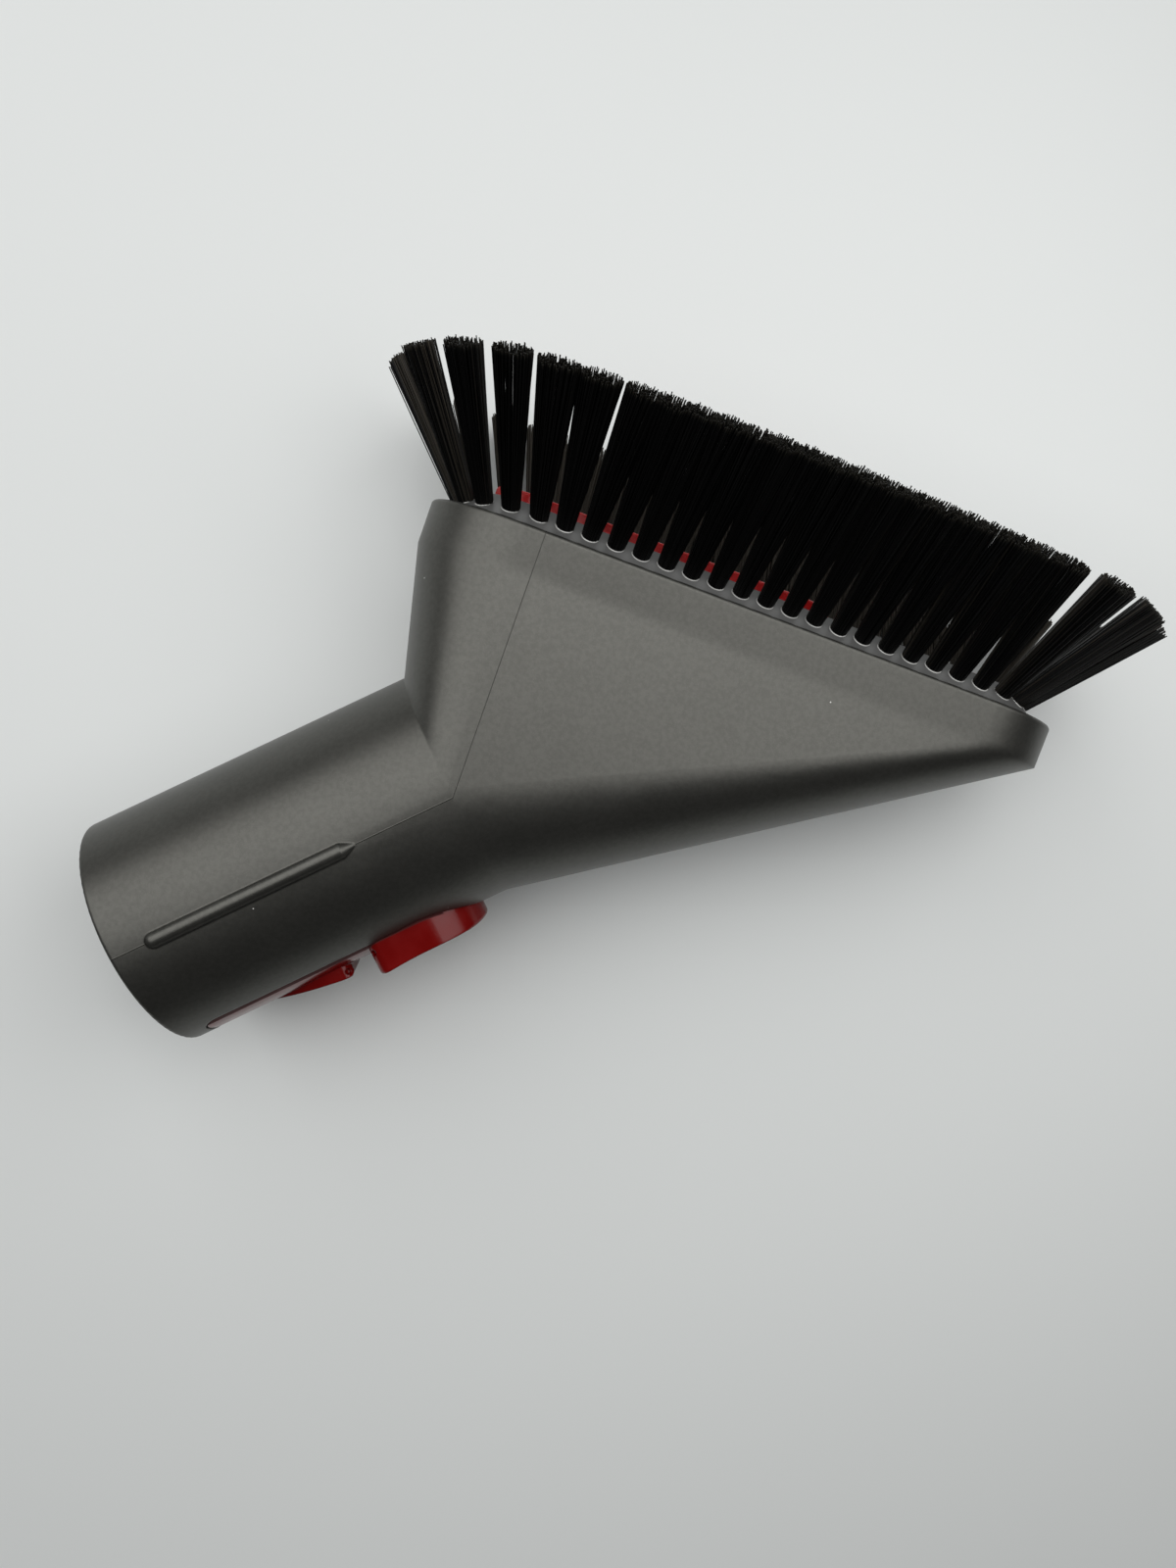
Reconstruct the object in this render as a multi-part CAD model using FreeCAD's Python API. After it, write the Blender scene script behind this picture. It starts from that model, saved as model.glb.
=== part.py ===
import FreeCAD, Part
import math
import os

# Dusting brush for a vacuum cleaner: a round neck that plugs onto the hose end,
# a head that widens from the neck to a long mouth, and a ring of bristle tufts
# round a raised suction slot. A rocking latch on the side of the neck locks it.
# All lengths are in millimetres. The origin is the centre of the neck's open end,
# +X runs along the mouth, +Y out of the mouth and +Z up, square to both.

# Neck
socket_radius = 18.5
socket_depth = 30.0
neck_wall = 4.0
neck_length = 65.0
neck_angle = 45.0
collar_step = 1.0
collar_depth = 12.0
shoulder_step = 2.5
shoulder_thickness = 2.5
neck_rim_round = 0.7

# Head and its mouth
mouth_distance = 95.0
mouth_left_reach = 70.8
mouth_right_reach = 56.9
mouth_half_thickness = 18.0
band_depth = 8.3
head_wall = 2.6
mouth_wall = 2.2
mouth_edge_round = 0.8
carrier_seat_depth = 6.5
carrier_seat_width = 1.5

# Raised guide ribs on the two broad sides of the neck
rib_radius = 1.5
rib_start = 6.8
rib_length = 35.5
rib_point_length = 3.6
rib_sink = 0.35

# Bristle carrier: a crowned ring with sloping flanks that hold the tufts
carrier_clearance = 0.2
carrier_edge_drop = 0.6
carrier_edge_land = 0.4
flank_angle = 39.0
crest_land = 1.3
slot_half_width = 7.6
slot_right_reach = 8.0
liner_clearance = 0.1
liner_wall = 1.4
liner_stand = 2.1
liner_flange = 1.2
liner_flange_thickness = 1.5
liner_edge_round = 0.5

# Tufts
tuft_count = 52
tuft_ring_radius = 11.4
tuft_ring_left_reach = 12.9
tuft_hole_radius = 1.5
tuft_hole_depth = 3.8
tuft_clearance = 0.1
tuft_length = 30.0
tuft_end_shortening = 2.0
tuft_tip_half_width = 2.3
tuft_tip_extra_width_at_ends = 1.4
tuft_tip_half_depth = 2.9
fan_reach = 12.0
fan_flatness = 0.32
fan_extra_lean = 3.0
anchor_height = 0.8
anchor_thickness = 0.5

# Release latch: a rocking plate let into the neck, with a ramp and a push button
latch_start = 4.6
latch_half_width = 11.9
latch_corner_radius = 3.0
latch_thickness = 1.8
latch_below_skin = 0.1
latch_gap = 0.35
latch_floor_gap = 0.4
button_start = 37.6
button_centre = 47.7
button_stand = 2.9
button_dish = 0.7
button_dish_radius = 70.0
button_edge_round = 0.7
button_corner_round = 2.5
button_end_gap = 0.8
button_travel_room = 3.2
tray_wall = 1.4
ramp_start = 13.5
ramp_end = 32.4
ramp_half_width = 7.5
ramp_leaf_half_width = 5.4
ramp_corner_round = 2.2
ramp_rise = 1.5
ramp_end_slope = 0.5
mark_radius = 0.6
mark_depth = 0.8
mark_below_skin = 1.7
mark_above_skin = 0.2
hook_start = 5.4
hook_length = 3.2
hook_half_width = 5.0
hook_gap = 0.5
hook_reach = 0.95

# Latch pivot and return spring
pivot_along = 33.0
pivot_below_skin = 5.1
pivot_pin_radius = 0.8
pivot_running_gap = 0.05
boss_half_width = 3.2
boss_half_length = 2.0
boss_wall = 0.7
lug_inner = 3.5
lug_outer = 6.4
lug_wall = 0.8
lug_room = 0.3
spring_along = 50.0
spring_wire_radius = 0.25
spring_coil_radius = 2.0
spring_turns = 5.0
spring_seat_gap = 0.05
spring_recess_radius = 2.8
spring_recess_roof = 2.5
spring_stud_radius = 1.3
spring_stud_height = 1.5

# Places worked out from the sizes above
turn = math.radians(neck_angle)
along_neck = FreeCAD.Vector(math.cos(turn), math.sin(turn), 0.0)
latch_side = FreeCAD.Vector(math.sin(turn), -math.cos(turn), 0.0)
up = FreeCAD.Vector(0.0, 0.0, 1.0)
neck_radius = socket_radius + neck_wall
collar_radius = socket_radius + collar_step
shoulder_radius = socket_radius - shoulder_step
mouth_centre = mouth_distance / math.tan(turn)
mouth_left = mouth_centre - mouth_left_reach
mouth_right = mouth_centre + mouth_right_reach
left_pole = mouth_left + mouth_half_thickness
right_pole = mouth_right - mouth_half_thickness
band_start = mouth_distance - band_depth
seat_level = mouth_distance - carrier_seat_depth
pocket_half = mouth_half_thickness - mouth_wall
seat_half = pocket_half - carrier_seat_width
carrier_half = pocket_half - carrier_clearance
flank_half = carrier_half - carrier_edge_land
crest_half = slot_half_width + crest_land
flank_slope = math.radians(flank_angle)
edge_level = mouth_distance - carrier_edge_drop
crest_level = edge_level + (flank_half - crest_half) * math.tan(flank_slope)
fan_centre = left_pole + fan_reach
slot_right_pole = mouth_centre + slot_right_reach - slot_half_width
latch_outer = neck_radius - latch_below_skin
latch_inner = latch_outer - latch_thickness
front_floor = latch_inner - latch_floor_gap
rear_floor = latch_inner - button_travel_room
rear_floor_start = socket_depth + latch_gap
button_radius = latch_half_width
latch_end = button_centre + button_radius
button_height = neck_radius + button_stand
pivot_out = neck_radius - pivot_below_skin

# How far a cutting shape runs past what it cuts, and how close two lengths count as equal
BEYOND = 1.0
CLOSE = 0.01


def on_neck(shape):
    """Turns a shape that was drawn with the neck along +X onto the neck's own line."""
    shape.rotate(FreeCAD.Vector(0, 0, 0), up, neck_angle)
    return shape


def neck_cylinder(radius, start, end):
    """A round bar on the neck's line, drawn along +X."""
    return Part.makeCylinder(radius, end - start, FreeCAD.Vector(start, 0, 0), FreeCAD.Vector(1, 0, 0))


def latch_block(start, end, half_width, low, high):
    """A box on the latch side of the neck, between two distances from the neck's line."""
    corner = FreeCAD.Vector(start, -high, -half_width)
    return Part.makeBox(end - start, high - low, 2 * half_width, corner)


def side_block(start, end, inner, outer, low, high):
    """Two mirrored boxes on the latch side, one each side of the middle plane."""
    upper = Part.makeBox(end - start, high - low, outer - inner, FreeCAD.Vector(start, -high, inner))
    lower = Part.makeBox(end - start, high - low, outer - inner, FreeCAD.Vector(start, -high, -outer))
    return upper.fuse(lower)


def track_edges(left, right, half, level):
    """The four edges of a racetrack outline in the plane y = level: top, right, bottom, left."""
    top_left = FreeCAD.Vector(left, level, half)
    top_right = FreeCAD.Vector(right, level, half)
    low_left = FreeCAD.Vector(left, level, -half)
    low_right = FreeCAD.Vector(right, level, -half)
    top = Part.LineSegment(top_left, top_right).toShape()
    right_arc = Part.Arc(top_right, FreeCAD.Vector(right + half, level, 0), low_right).toShape()
    bottom = Part.LineSegment(low_right, low_left).toShape()
    left_arc = Part.Arc(low_left, FreeCAD.Vector(left - half, level, 0), top_left).toShape()
    return top, right_arc, bottom, left_arc


def track_prism(left, right, half, low, high):
    """A straight bar with a racetrack section, between two levels along +Y."""
    face = Part.Face(Part.Wire(track_edges(left, right, half, low)))
    return face.extrude(FreeCAD.Vector(0, high - low, 0))


def track_taper(left, right, low_half, low, high_half, high):
    """A racetrack bar whose sides lean in all the way round, as on the crown's flanks."""
    lower = Part.Wire(track_edges(left, right, low_half, low))
    upper = Part.Wire(track_edges(left, right, high_half, high))
    return Part.makeLoft([lower, upper], True, True)


def flat_touch_angle(radius, half, level):
    """Where the flat broad side touches the round end of the head, as an angle from the latch side."""
    reach = (level - neck_length * along_neck.y) / (radius * abs(latch_side.y))
    lift = half / radius
    lean = math.atan2(lift, reach) + math.acos(1.0 / math.hypot(reach, lift))
    return math.pi - lean


def head_blend(radius, left, right, half, level):
    """The head's form: a round end that flows into a racetrack.

    Each broad side is a flat triangle that touches the round end at one point.
    The two narrow sides are skins of straight lines from the circle to the end arcs,
    and the flats are tangent to them.
    """
    centre = along_neck * neck_length
    touch = flat_touch_angle(radius, half, level)

    def rim_point(angle):
        return centre + latch_side * (radius * math.cos(angle)) + up * (radius * math.sin(angle))

    top_touch = rim_point(touch)
    low_touch = rim_point(-touch)
    far_arc = Part.Arc(low_touch, rim_point(math.pi), top_touch).toShape()
    near_arc = Part.Arc(top_touch, rim_point(0.0), low_touch).toShape()
    top, right_arc, bottom, left_arc = track_edges(left, right, half, level)
    top_left = FreeCAD.Vector(left, level, half)
    top_right = FreeCAD.Vector(right, level, half)
    low_left = FreeCAD.Vector(left, level, -half)
    low_right = FreeCAD.Vector(right, level, -half)
    faces = [
        Part.makeRuledSurface(far_arc, left_arc),
        Part.makeRuledSurface(near_arc, right_arc),
        Part.Face(Part.makePolygon([top_touch, top_left, top_right, top_touch])),
        Part.Face(Part.makePolygon([low_touch, low_left, low_right, low_touch])),
        Part.Face(Part.Wire([far_arc, near_arc])),
        Part.Face(Part.Wire([top, right_arc, bottom, left_arc])),
    ]
    skin = Part.makeShell(faces)
    skin.sewShape()
    blend = Part.makeSolid(skin)
    if blend.Volume < 0:
        blend.reverse()
    return blend


def guide_rib():
    """A raised half-round bar on the neck's top line, ball-ended towards the mouth and pointed behind."""
    height = neck_radius - rib_sink
    start = FreeCAD.Vector(rib_start + rib_radius, 0, height)
    end = FreeCAD.Vector(rib_start + rib_radius + rib_length, 0, height)
    bar = Part.makeCylinder(rib_radius, rib_length, start, FreeCAD.Vector(1, 0, 0))
    ball = Part.makeSphere(rib_radius, start)
    point = Part.makeCone(rib_radius, 0.0, rib_point_length, end, FreeCAD.Vector(1, 0, 0))
    return bar.fuse([ball, point])


def latch_outline(grow, end_gap):
    """The latch seen from outside: a strip with rounded corners that ends in the round button."""
    strip = latch_block(latch_start - grow, button_centre, latch_half_width + grow, 0, button_height + BEYOND)
    corners = [
        edge for edge in strip.Edges
        if abs(edge.CenterOfMass.x - (latch_start - grow)) < CLOSE
        and abs(edge.CenterOfMass.z) > latch_half_width - BEYOND
    ]
    strip = strip.makeFillet(latch_corner_radius + grow, corners)
    disc = Part.makeCylinder(
        button_radius + end_gap,
        button_height + BEYOND,
        FreeCAD.Vector(button_centre, 0, 0),
        FreeCAD.Vector(0, -1, 0),
    )
    return strip.fuse(disc)


def latch_pocket():
    """The space in the neck's wall that the latch rocks in, deeper behind the pivot."""
    outline = latch_outline(latch_gap, button_end_gap)
    end = latch_end + button_end_gap + BEYOND
    front = outline.cut(neck_cylinder(front_floor, 0, end))
    rear = outline.common(latch_block(rear_floor_start, end, neck_radius, 0, neck_radius + BEYOND))
    rear = rear.cut(neck_cylinder(rear_floor, 0, end))
    window = latch_block(
        hook_start - hook_gap,
        hook_start + hook_length + 2 * hook_gap,
        hook_half_width + hook_gap,
        socket_radius - BEYOND,
        neck_radius,
    )
    lug_low = pivot_out - pivot_pin_radius - lug_wall - lug_room
    lug_space = side_block(
        pivot_along - boss_half_length,
        pivot_along + boss_half_length,
        boss_half_width,
        lug_outer + lug_room,
        lug_low,
        neck_radius,
    )
    return front.fuse([rear, window, lug_space])


def latch_tray():
    """The wall that closes the latch pocket off from the air duct inside the neck."""
    end = latch_end + button_end_gap + tray_wall + BEYOND
    tray = latch_outline(latch_gap + tray_wall, button_end_gap + tray_wall)
    tray = tray.cut(neck_cylinder(rear_floor - tray_wall, 0, end))
    lug_low = pivot_out - pivot_pin_radius - lug_wall - lug_room - tray_wall
    lug_box = latch_block(
        socket_depth,
        pivot_along + boss_half_length + tray_wall,
        lug_outer + lug_room + tray_wall,
        lug_low,
        neck_radius,
    )
    return tray.fuse(lug_box).common(latch_block(socket_depth, end, neck_radius, 0, neck_radius))


def pivot_boss():
    """A boss on the pocket's floor that the pivot pin is pressed through."""
    return latch_block(
        pivot_along - boss_half_length,
        pivot_along + boss_half_length,
        boss_half_width,
        rear_floor - tray_wall,
        pivot_out + pivot_pin_radius + boss_wall,
    )


def pivot_bar(radius, half_length):
    """A round bar on the pivot's line, square to the middle plane."""
    foot = FreeCAD.Vector(pivot_along, -pivot_out, -half_length)
    return Part.makeCylinder(radius, 2 * half_length, foot, up)


def spring_stud():
    """A short peg on the pocket's floor that keeps the spring in place."""
    foot = FreeCAD.Vector(spring_along, -(rear_floor - BEYOND), 0)
    return Part.makeCylinder(spring_stud_radius, spring_stud_height + BEYOND, foot, FreeCAD.Vector(0, -1, 0))


def make_housing():
    """Neck and head, moulded as one hollow piece."""
    neck = neck_cylinder(neck_radius, 0, neck_length)
    rim = [edge for edge in neck.Edges if edge.CenterOfMass.x < CLOSE and edge.Length > neck_radius]
    neck = neck.makeFillet(neck_rim_round, rim)
    upper_rib = guide_rib()
    lower_rib = guide_rib()
    lower_rib.rotate(FreeCAD.Vector(0, 0, 0), FreeCAD.Vector(1, 0, 0), 180)
    neck = neck.fuse([upper_rib, lower_rib])
    head = head_blend(neck_radius, left_pole, right_pole, mouth_half_thickness, band_start)
    band = track_prism(left_pole, right_pole, mouth_half_thickness, band_start, mouth_distance)
    lip = [edge for edge in band.Edges if abs(edge.BoundBox.YMin - mouth_distance) < CLOSE]
    lip = [edge for edge in lip if abs(edge.BoundBox.YMax - mouth_distance) < CLOSE]
    band = band.makeFillet(mouth_edge_round, lip)
    body = on_neck(neck).fuse([head, band])
    inner_radius = neck_radius - head_wall
    duct = neck_cylinder(shoulder_radius, 0, neck_length)
    duct = duct.fuse(neck_cylinder(inner_radius, socket_depth + shoulder_thickness, neck_length))
    bores = neck_cylinder(collar_radius, -BEYOND, collar_depth).fuse([
        neck_cylinder(socket_radius, 0, socket_depth),
        duct.cut(latch_tray()),
        latch_pocket(),
    ])
    hollow = head_blend(inner_radius, left_pole, right_pole, seat_half, seat_level)
    pocket = track_prism(left_pole, right_pole, pocket_half, seat_level, mouth_distance + BEYOND)
    body = body.cut(on_neck(bores)).cut(hollow).cut(pocket)
    body = body.fuse([on_neck(pivot_boss()), on_neck(spring_stud())])
    return body.cut(on_neck(pivot_bar(pivot_pin_radius, lug_outer + lug_room)))


def tuft_station(index):
    """A tuft's place on the ring's line, and the direction out of the ring there."""
    straight = right_pole - left_pole
    arc = math.pi * tuft_ring_radius
    distance = index * 2 * (straight + arc) / tuft_count
    if distance < arc / 2:
        around = math.pi - distance / tuft_ring_radius
        return left_pole, around
    distance -= arc / 2
    if distance < straight:
        return left_pole + distance, math.pi / 2
    distance -= straight
    if distance < arc:
        return right_pole, math.pi / 2 - distance / tuft_ring_radius
    distance -= arc
    if distance < straight:
        return right_pole - distance, -math.pi / 2
    distance -= straight
    return left_pole, -math.pi / 2 - distance / tuft_ring_radius


def tuft_frame(index):
    """The point where a tuft leaves the carrier, its direction, and which way is outward there.

    The tufts lean out with the flank. At the left end they fan out a little before the
    ring turns, and lean out a little more.
    """
    pole, around = tuft_station(index)
    outward = FreeCAD.Vector(math.cos(around), 0, math.sin(around))
    reach = tuft_ring_left_reach if outward.x < 0 else tuft_ring_radius
    from_pole = math.hypot(outward.x * reach, outward.z * tuft_ring_radius)
    level = edge_level + (flank_half - from_pole) * math.tan(flank_slope)
    foot = FreeCAD.Vector(pole + outward.x * reach, level, outward.z * tuft_ring_radius)
    if foot.x < fan_centre:
        outward = FreeCAD.Vector((foot.x - fan_centre) * fan_flatness, 0, foot.z).normalize()
    lean = math.radians(flank_angle + fan_extra_lean * max(0.0, -outward.x))
    direction = outward * math.sin(lean) + FreeCAD.Vector(0, math.cos(lean), 0)
    return foot, direction, outward


def make_carrier():
    """The crowned ring: a flat-based body, sloping flanks, tuft holes and the suction slot."""
    base = track_prism(left_pole, right_pole, carrier_half, seat_level, edge_level)
    crown = track_taper(left_pole, right_pole, flank_half, edge_level, crest_half, crest_level)
    slot = track_prism(left_pole, slot_right_pole, slot_half_width, seat_level - BEYOND, crest_level + BEYOND)
    rebate = track_prism(
        left_pole, slot_right_pole, slot_half_width + liner_flange,
        seat_level - BEYOND, seat_level + liner_flange_thickness,
    )
    body = base.fuse(crown).removeSplitter().cut(slot.fuse(rebate))
    holes = []
    for index in range(tuft_count):
        foot, direction, _ = tuft_frame(index)
        bottom = foot - direction * tuft_hole_depth
        holes.append(Part.makeCylinder(tuft_hole_radius, tuft_hole_depth + BEYOND, bottom, direction))
    return body.cut(holes)


def make_liner():
    """The bright collar that lines the suction slot and stands proud of the crown."""
    outer = slot_half_width - liner_clearance
    inner = outer - liner_wall
    top = crest_level + liner_stand
    wall = track_prism(left_pole, slot_right_pole, outer, seat_level, top)
    rounded = [edge for edge in wall.Edges if abs(edge.BoundBox.YMin - top) < CLOSE]
    wall = wall.makeFillet(liner_edge_round, rounded)
    flange_half = outer + liner_flange
    flange_top = seat_level + liner_flange_thickness - liner_clearance
    flange = track_prism(left_pole, slot_right_pole, flange_half, seat_level, flange_top)
    passage = track_prism(left_pole, slot_right_pole, inner, seat_level - BEYOND, top + BEYOND)
    return wall.fuse(flange).cut(passage)


def tuft_section(centre, long_way, short_way, long_half, short_half):
    """An oval outline square to a tuft."""
    oval = Part.Ellipse(centre + long_way * long_half, centre + short_way * short_half, centre)
    return Part.Wire(oval.toShape())


def make_tuft(index):
    """One bundle of bristles, round where it leaves its hole and spreading to an oval tip."""
    foot, direction, outward = tuft_frame(index)
    across = FreeCAD.Vector(-outward.z, 0, outward.x)
    deep = across.cross(direction)
    root_radius = tuft_hole_radius - tuft_clearance
    bottom = foot - direction * (tuft_hole_depth - anchor_height)
    middle = (left_pole + right_pole) / 2
    off_centre = abs(foot.x - middle) / (middle - mouth_left)
    length = tuft_length - tuft_end_shortening * off_centre ** 2
    extra_width = tuft_tip_extra_width_at_ends * math.sqrt(abs(outward.x))
    ways = [(tuft_tip_half_width + extra_width, across), (tuft_tip_half_depth, deep)]
    (short_half, short_way), (long_half, long_way) = sorted(ways, key=lambda way: way[0])
    lower = tuft_section(foot, long_way, short_way, root_radius + tuft_clearance / 2, root_radius)
    root = Part.Face(lower).extrude(bottom - foot)
    upper = tuft_section(foot + direction * length, long_way, short_way, long_half, short_half)
    spread = Part.makeLoft([lower, upper], True, True)
    return root.fuse(spread)


def make_anchors():
    """The metal staples that hold the folded bristles at the bottom of every hole."""
    blades = []
    for index in range(tuft_count):
        foot, direction, _ = tuft_frame(index)
        length = 2 * (tuft_hole_radius - tuft_clearance)
        blade = Part.makeBox(
            length, anchor_thickness, anchor_height,
            FreeCAD.Vector(-length / 2, -anchor_thickness / 2, 0),
        )
        bottom = foot - direction * tuft_hole_depth
        turn_up = FreeCAD.Rotation(up, direction)
        blade.Placement = FreeCAD.Placement(bottom, turn_up)
        blades.append(blade)
    return Part.makeCompound(blades)


def corner_edges(shape, along, half_width):
    """The two upright edges at a pair of corners on the latch side."""
    edges = [edge for edge in shape.Edges if abs(edge.CenterOfMass.x - along) < CLOSE]
    return [edge for edge in edges if abs(abs(edge.CenterOfMass.z) - half_width) < CLOSE]


def corner_marks(along, half_width, corner_round, out, ahead):
    """Two small blind holes, one in each of a pair of rounded corners."""
    marks = []
    for side in (1, -1):
        centre = FreeCAD.Vector(along, -out, side * (half_width - corner_round))
        aim = FreeCAD.Vector(ahead, 0, side).normalize()
        bottom = centre + aim * (corner_round - mark_depth)
        marks.append(Part.makeCylinder(mark_radius, mark_depth + BEYOND, bottom, aim))
    return marks[0].fuse(marks[1])


def ramp_block():
    """The low ramp on the latch, leaf shaped from outside and rising towards the button."""
    low = latch_inner
    profile = Part.makePolygon([
        FreeCAD.Vector(ramp_start, -low, 0),
        FreeCAD.Vector(ramp_start, -(latch_outer - latch_below_skin), 0),
        FreeCAD.Vector(ramp_end - ramp_end_slope, -(latch_outer + ramp_rise), 0),
        FreeCAD.Vector(ramp_end, -(latch_outer + ramp_rise - ramp_end_slope), 0),
        FreeCAD.Vector(ramp_end, -low, 0),
        FreeCAD.Vector(ramp_start, -low, 0),
    ])
    wedge = Part.Face(profile).extrude(up * 2 * ramp_half_width)
    wedge.translate(up * -ramp_half_width)
    tip = FreeCAD.Vector(ramp_start, 0, 0)
    half_way = (ramp_start + ramp_end) / 2
    upper = FreeCAD.Vector(ramp_end, 0, ramp_half_width)
    lower = FreeCAD.Vector(ramp_end, 0, -ramp_half_width)
    leaf = Part.Wire([
        Part.Arc(tip, FreeCAD.Vector(half_way, 0, ramp_leaf_half_width), upper).toShape(),
        Part.LineSegment(upper, lower).toShape(),
        Part.Arc(lower, FreeCAD.Vector(half_way, 0, -ramp_leaf_half_width), tip).toShape(),
    ])
    plan = Part.Face(leaf).extrude(FreeCAD.Vector(0, -button_height, 0))
    plan = plan.makeFillet(ramp_corner_round, corner_edges(plan, ramp_end, ramp_half_width))
    marks = corner_marks(
        ramp_end - ramp_corner_round, ramp_half_width, ramp_corner_round,
        neck_radius + mark_above_skin, 1,
    )
    return wedge.common(plan).cut(marks)


def button_block():
    """The push button: straight in front with rounded corners, round behind, dished for the thumb."""
    front = latch_block(button_start, button_centre, latch_half_width, 0, button_height)
    disc = Part.makeCylinder(
        button_radius, button_height, FreeCAD.Vector(button_centre, 0, 0), FreeCAD.Vector(0, -1, 0),
    )
    disc = disc.common(latch_block(button_start, latch_end, neck_radius, 0, button_height))
    button = front.fuse(disc).removeSplitter()
    button = button.makeFillet(button_corner_round, corner_edges(button, button_start, latch_half_width))
    top_edges = [edge for edge in button.Edges if abs(edge.BoundBox.YMin + button_height) < CLOSE]
    top_edges = [edge for edge in top_edges if abs(edge.BoundBox.YMax + button_height) < CLOSE]
    button = button.makeFillet(button_edge_round, top_edges)
    dish_centre = button_height - button_dish + button_dish_radius
    dish = Part.makeCylinder(
        button_dish_radius, 2 * latch_half_width,
        FreeCAD.Vector(button_centre, -dish_centre, -latch_half_width), up,
    )
    marks = corner_marks(
        button_start + button_corner_round, latch_half_width, button_corner_round,
        neck_radius - mark_below_skin, -1,
    )
    return button.cut(dish).cut(marks)


def make_latch():
    """The rocking latch: plate, ramp, button, hook and two lugs on the pivot pin."""
    end = latch_end + BEYOND
    skin = neck_cylinder(latch_outer, 0, end).cut(neck_cylinder(latch_inner, 0, end))
    plate = latch_outline(0, 0).common(skin)
    raised = ramp_block().fuse(button_block()).cut(neck_cylinder(latch_inner, 0, end))
    lug_end = pivot_bar(pivot_pin_radius + lug_wall, lug_outer)
    lug_stem = latch_block(
        pivot_along - pivot_pin_radius - lug_wall,
        pivot_along + pivot_pin_radius + lug_wall,
        lug_outer, pivot_out, latch_inner + latch_thickness / 2,
    )
    lugs = lug_end.fuse(lug_stem)
    between_start = pivot_along - boss_half_length - BEYOND
    between_end = pivot_along + boss_half_length + BEYOND
    lugs = lugs.cut(latch_block(between_start, between_end, lug_inner, 0, latch_inner))
    hook_low = collar_radius - hook_reach
    hook = latch_block(hook_start, hook_start + hook_length, hook_half_width, hook_low, latch_outer - BEYOND)
    lead = [edge for edge in hook.Edges if abs(edge.CenterOfMass.x - hook_start) < CLOSE]
    lead = [edge for edge in lead if abs(edge.CenterOfMass.y + hook_low) < CLOSE]
    hook = hook.makeChamfer(hook_reach, lead)
    hook = hook.cut(neck_cylinder(hook_low, 0, end))
    latch = plate.fuse([raised, lugs, hook])
    spring_room = Part.makeCylinder(
        spring_recess_radius, button_height - spring_recess_roof - rear_floor,
        FreeCAD.Vector(spring_along, -rear_floor, 0), FreeCAD.Vector(0, -1, 0),
    )
    return latch.cut(pivot_bar(pivot_pin_radius + pivot_running_gap, neck_radius)).cut(spring_room)


def make_pin():
    """The pivot pin, pressed through the boss, with an end in each lug."""
    return pivot_bar(pivot_pin_radius, lug_outer)


def make_spring():
    """The coil spring that lifts the button back."""
    low = rear_floor + spring_seat_gap
    high = button_height - spring_recess_roof - spring_seat_gap
    height = high - low - 2 * spring_wire_radius
    path = Part.makeHelix(height / spring_turns, height, spring_coil_radius)
    start = FreeCAD.Vector(spring_coil_radius, 0, 0)
    section = Part.Wire(Part.Circle(start, FreeCAD.Vector(0, 1, 0), spring_wire_radius).toShape())
    coil = Part.Wire(path).makePipeShell([section], True, True)
    coil.rotate(FreeCAD.Vector(0, 0, 0), FreeCAD.Vector(1, 0, 0), 90)
    coil.translate(FreeCAD.Vector(spring_along, -(low + spring_wire_radius), 0))
    return coil


def save(name, shape):
    """Writes one piece to its own file."""
    shape.exportStep(f"parts/{name}.step")
    print(name, "solids", len(shape.Solids), "valid", shape.isValid(), "volume", round(shape.Volume, 1))


os.makedirs("parts", exist_ok=True)
save("housing", make_housing())
save("bristle_carrier", make_carrier())
save("slot_liner", make_liner())
save("release_latch", on_neck(make_latch()))
save("latch_pivot_pin", on_neck(make_pin()))
save("latch_spring", on_neck(make_spring()))
save("tuft_anchors", make_anchors())
for number in range(tuft_count):
    save(f"tuft_{number + 1:02d}", make_tuft(number))
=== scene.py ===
"""Looks of a vacuum dusting brush: its finishes, bristles, table, lamps and camera."""

import math

import bpy
import numpy as np
from mathutils import Matrix, Vector


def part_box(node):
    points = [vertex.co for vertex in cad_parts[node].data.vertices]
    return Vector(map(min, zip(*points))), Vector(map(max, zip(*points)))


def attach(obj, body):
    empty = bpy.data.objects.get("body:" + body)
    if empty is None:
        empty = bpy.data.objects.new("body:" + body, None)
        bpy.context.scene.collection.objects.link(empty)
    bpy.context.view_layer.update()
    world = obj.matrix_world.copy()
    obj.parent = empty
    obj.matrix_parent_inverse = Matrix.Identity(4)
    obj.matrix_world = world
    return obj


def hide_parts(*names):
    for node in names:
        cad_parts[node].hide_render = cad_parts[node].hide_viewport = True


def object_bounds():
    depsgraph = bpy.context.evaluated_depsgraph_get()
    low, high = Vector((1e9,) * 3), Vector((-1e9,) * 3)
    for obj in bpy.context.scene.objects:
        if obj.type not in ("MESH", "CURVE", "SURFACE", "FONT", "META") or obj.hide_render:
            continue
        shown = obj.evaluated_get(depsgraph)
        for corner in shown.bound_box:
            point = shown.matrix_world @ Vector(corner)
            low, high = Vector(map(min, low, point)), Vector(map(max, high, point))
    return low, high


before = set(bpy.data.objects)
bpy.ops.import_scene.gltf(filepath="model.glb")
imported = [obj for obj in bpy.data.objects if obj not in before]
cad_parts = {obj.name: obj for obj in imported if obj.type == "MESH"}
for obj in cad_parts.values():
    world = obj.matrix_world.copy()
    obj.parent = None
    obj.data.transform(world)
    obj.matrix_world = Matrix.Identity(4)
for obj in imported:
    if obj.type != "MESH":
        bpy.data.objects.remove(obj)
CAD_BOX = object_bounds()

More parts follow.
